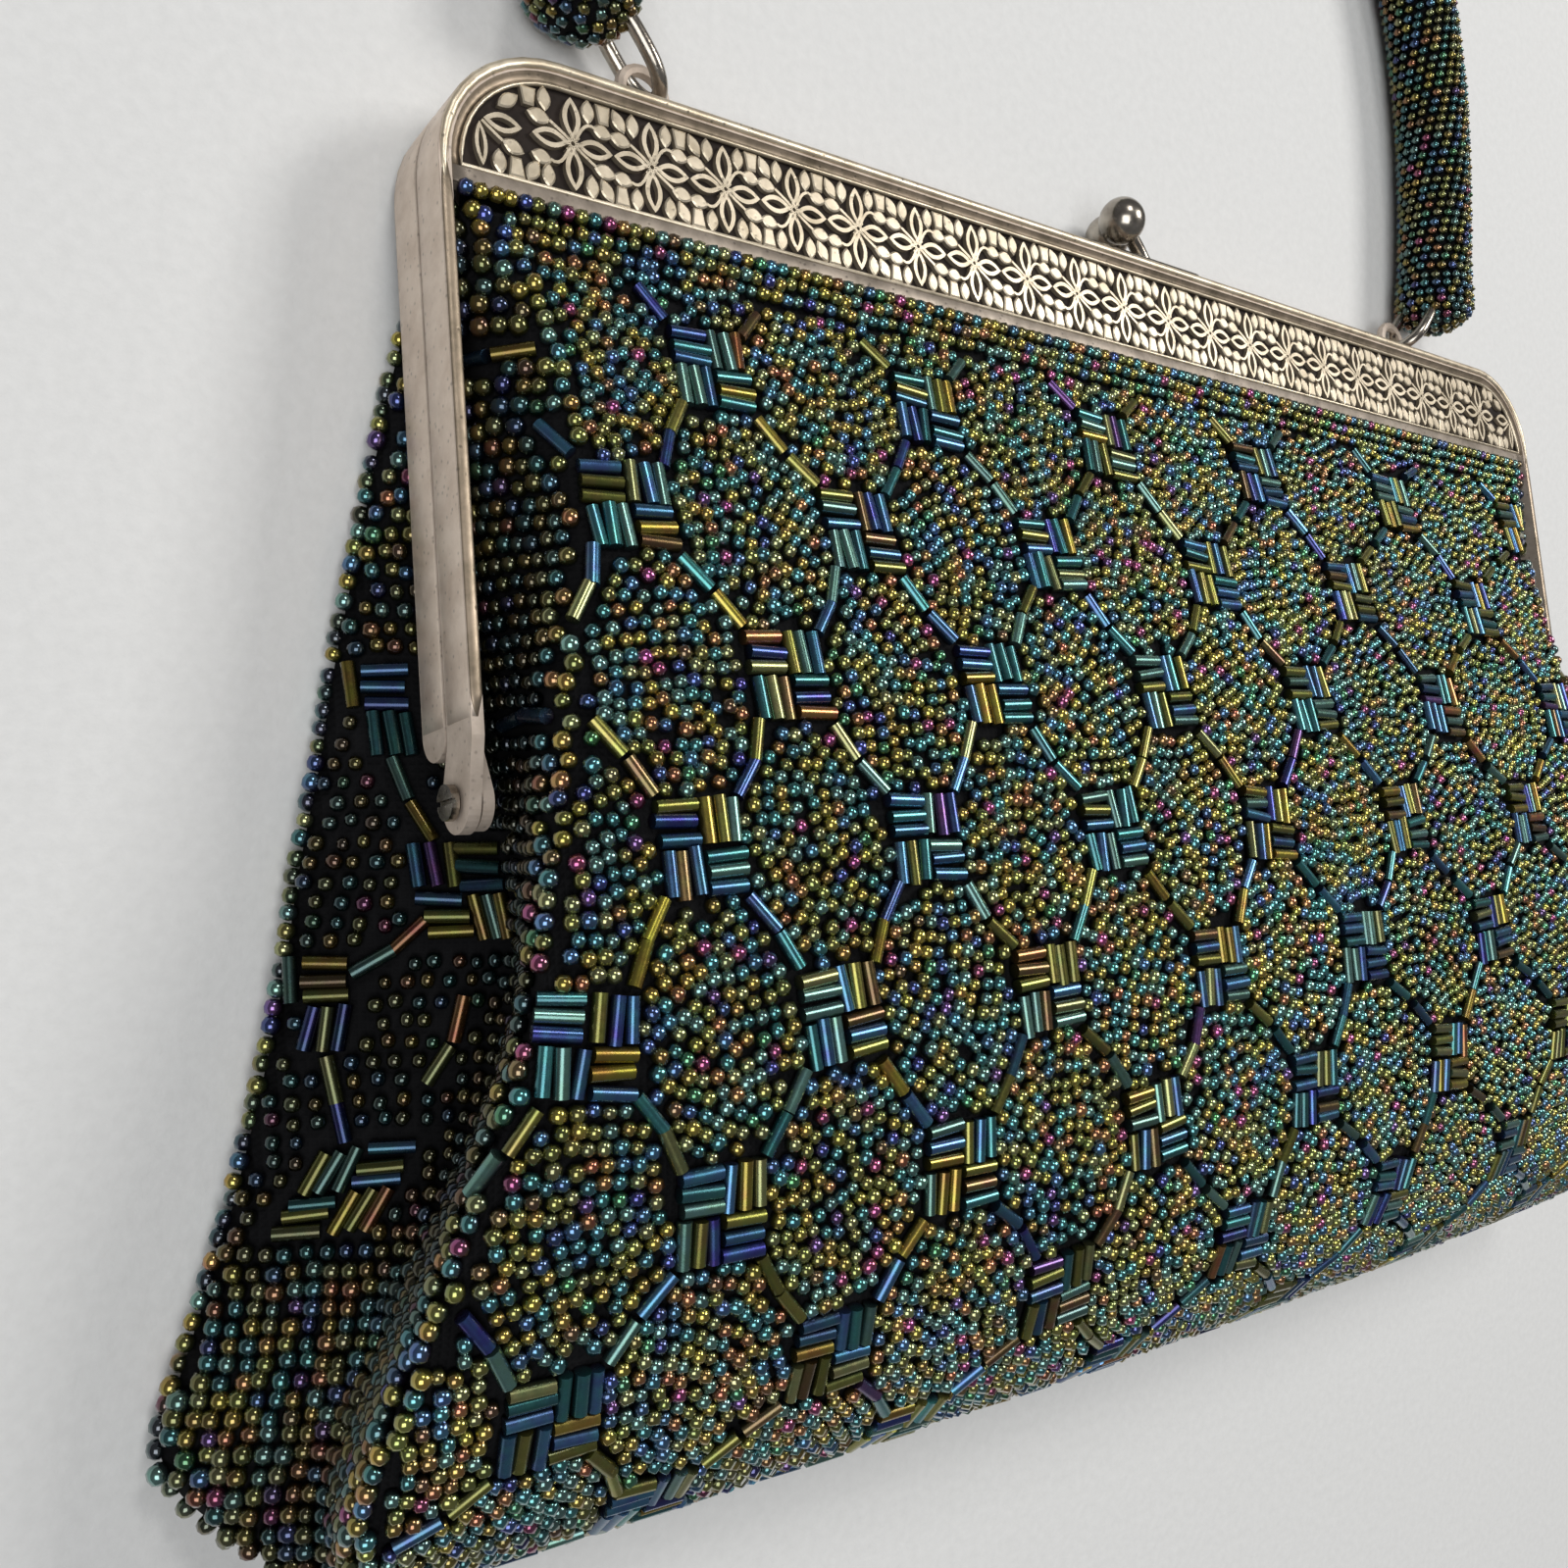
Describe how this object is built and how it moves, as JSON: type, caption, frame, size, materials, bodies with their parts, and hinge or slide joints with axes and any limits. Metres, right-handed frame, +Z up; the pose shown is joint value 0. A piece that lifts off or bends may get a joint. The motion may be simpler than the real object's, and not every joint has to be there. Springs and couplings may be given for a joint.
{
  "type": "beaded handbag",
  "caption": "Flat-lying beaded evening handbag: hollow beaded cloth body with folded-in sides, hinged flower-plate purse frame with kiss clasp, and a beaded tube handle on wire links.",
  "frame": {"origin": "on the surface the bag lies on, under the middle of its whole outline", "axes": "+Z up from the surface, +Y from the body's bottom fold towards the handle, +X across the bag"},
  "size_m": [0.2626, 0.29, 0.038],
  "materials": {
    "beaded_cloth": "black cloth covered with iridescent metallic glass seed and bugle beads",
    "silver_frame": "worn antique silver plate, darkened in its recesses",
    "nickel_fittings": "polished nickel, slightly tarnished"
  },
  "bodies": {
    "root": {"bag_body": "beaded_cloth", "frame_front": "silver_frame", "frame_back": "silver_frame", "clasp_front": "nickel_fittings", "clasp_back": "nickel_fittings", "hinge_screw_left": "silver_frame", "hinge_screw_right": "silver_frame", "link_left": "nickel_fittings", "link_right": "nickel_fittings", "handle": "beaded_cloth"}
  },
  "joints": []
}
